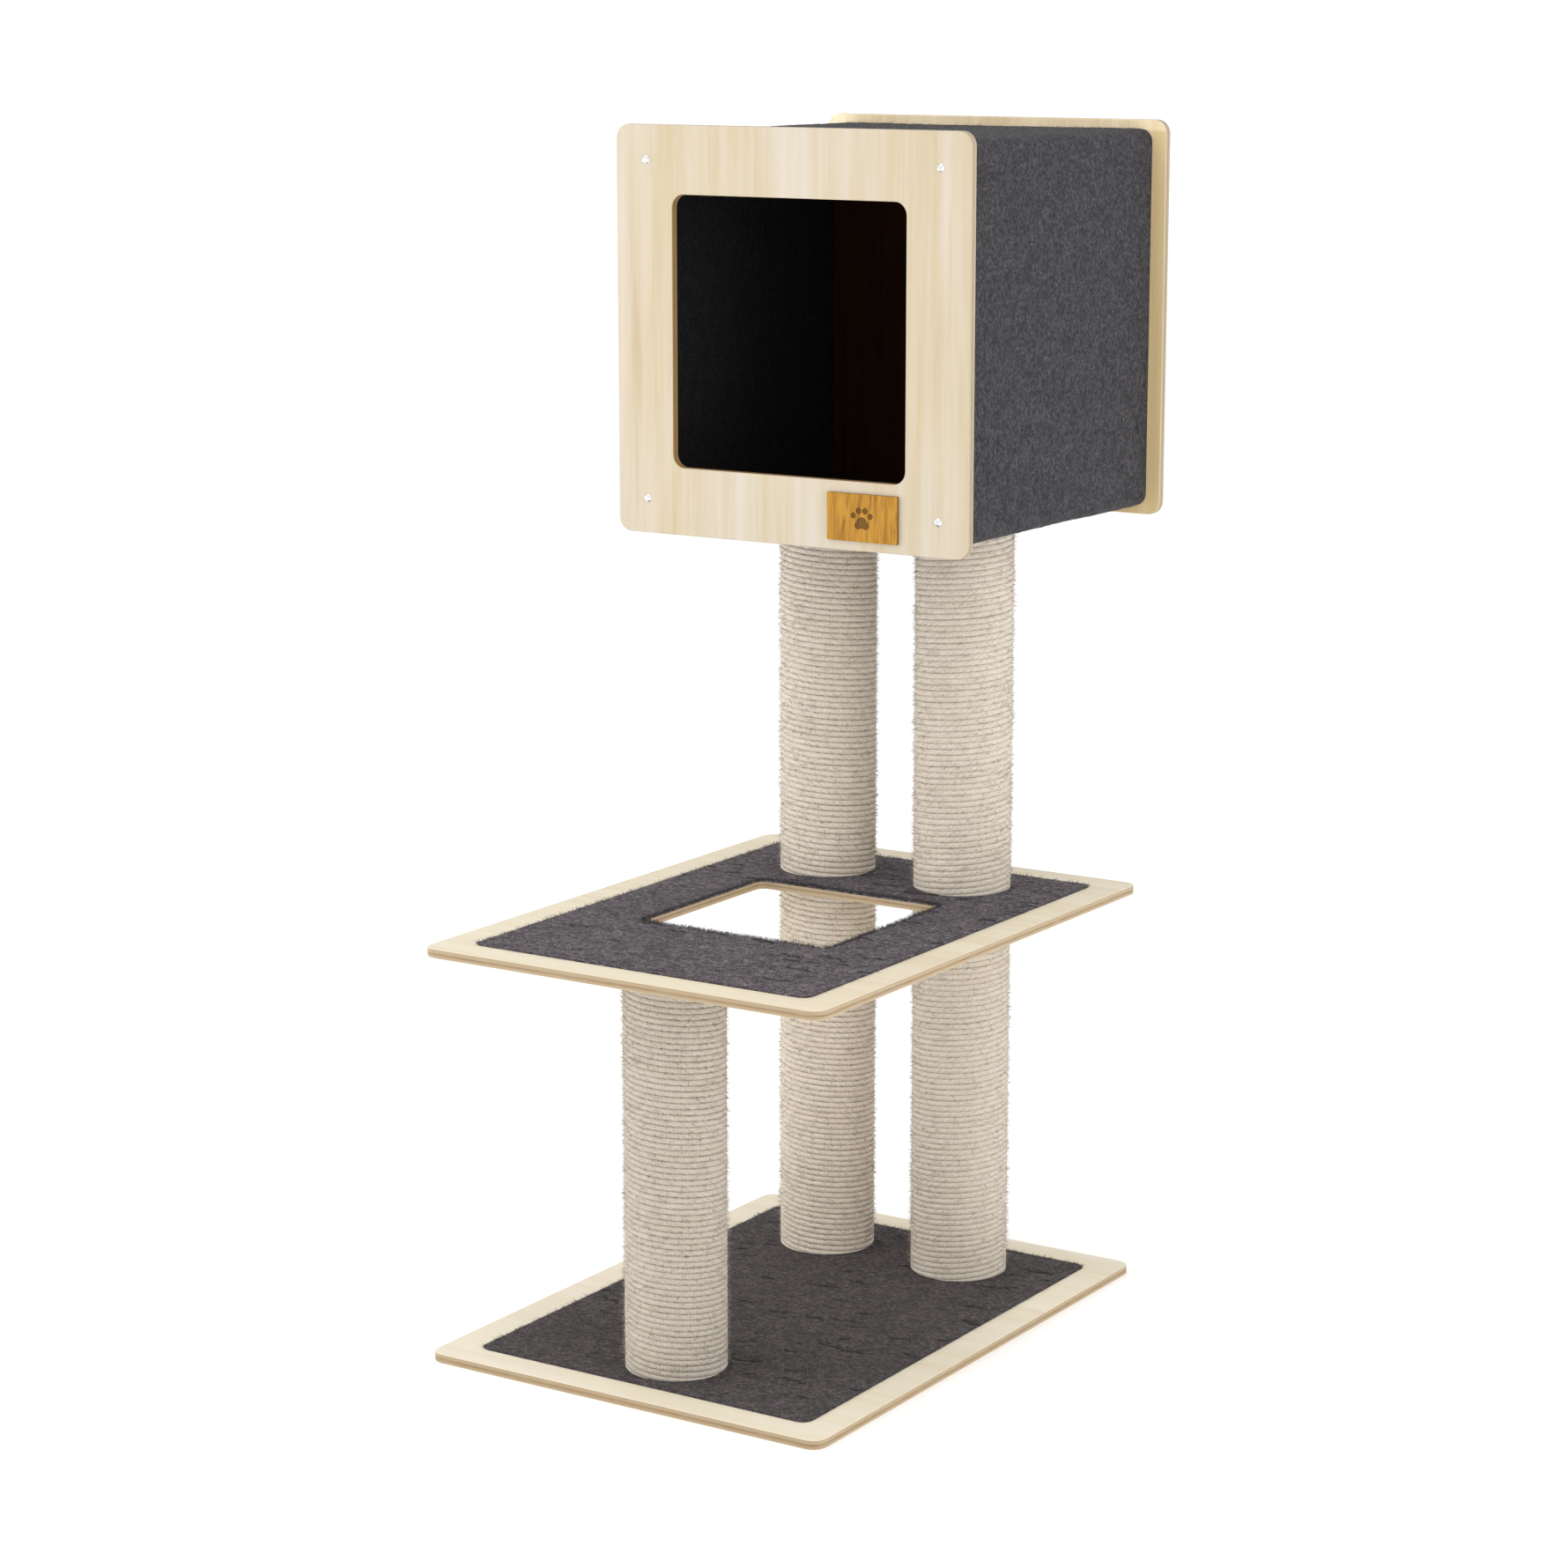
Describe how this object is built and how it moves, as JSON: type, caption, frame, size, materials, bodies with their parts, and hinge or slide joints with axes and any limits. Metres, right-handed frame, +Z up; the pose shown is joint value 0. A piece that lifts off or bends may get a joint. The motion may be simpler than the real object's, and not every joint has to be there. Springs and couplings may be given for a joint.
{
  "type": "cat tree",
  "caption": "Two-level cat tree: rope-wound posts hold a carpeted platform with a square hole and a felt-covered cabin with wooden front and back panels.",
  "frame": {"origin": "middle of the base board's flat underside", "axes": "+Z up; -Y is the front, where the cabin's doorway faces; +X is to the right seen from the front"},
  "size_m": [0.45, 0.6997, 1.184],
  "materials": {
    "board_plywood": "satin",
    "panel_plywood": "satin",
    "carpet": "needle-punched pile, matt",
    "cabin_felt": "felt, matt",
    "lining_felt": "felt, matt",
    "shell_board": "raw",
    "block_wood": "raw",
    "brown_board": "hardboard, raw",
    "badge_wood": "satin",
    "bolt_steel": "zinc plated",
    "screw_steel": "nickel plated",
    "staple_steel": "galvanised",
    "tube_cardboard": "raw",
    "plug_wood": "raw",
    "insert_steel": "zinc plated",
    "rope": "twisted plant fibre, matt"
  },
  "bodies": {
    "root": {"back_panel_screws": "screw_steel", "base_board": "board_plywood", "base_carpet": "carpet", "base_post_bolts": "bolt_steel", "cabin_back_panel": "panel_plywood", "cabin_corner_blocks": "block_wood", "cabin_felt_cover": "cabin_felt", "cabin_floor_board": "shell_board", "cabin_floor_lining": "lining_felt", "cabin_front_panel": "panel_plywood", "cabin_inner_back": "brown_board", "cabin_left_board": "shell_board", "cabin_left_lining": "lining_felt", "cabin_post_bolts": "bolt_steel", "cabin_right_board": "shell_board", "cabin_right_lining": "lining_felt", "cabin_roof_board": "shell_board", "cabin_roof_lining": "lining_felt", "front_badge": "badge_wood", "front_panel_screws": "screw_steel", "front_post_bottom_plug": "plug_wood", "front_post_inserts": "insert_steel", "front_post_rope": "rope", "front_post_top_plug": "plug_wood", "front_post_tube": "tube_cardboard", "lower_left_post_bottom_plug": "plug_wood", "lower_left_post_inserts": "insert_steel", "lower_left_post_rope": "rope", "lower_left_post_top_plug": "plug_wood", "lower_left_post_tube": "tube_cardboard", "lower_right_post_bottom_plug": "plug_wood", "lower_right_post_inserts": "insert_steel", "lower_right_post_rope": "rope", "lower_right_post_top_plug": "plug_wood", "lower_right_post_tube": "tube_cardboard", "platform_board": "board_plywood", "platform_carpet": "carpet", "platform_front_bolt": "bolt_steel", "platform_post_studs": "bolt_steel", "rope_end_staples": "staple_steel", "upper_left_post_bottom_plug": "plug_wood", "upper_left_post_inserts": "insert_steel", "upper_left_post_rope": "rope", "upper_left_post_top_plug": "plug_wood", "upper_left_post_tube": "tube_cardboard", "upper_right_post_bottom_plug": "plug_wood", "upper_right_post_inserts": "insert_steel", "upper_right_post_rope": "rope", "upper_right_post_top_plug": "plug_wood", "upper_right_post_tube": "tube_cardboard"}
  },
  "joints": []
}
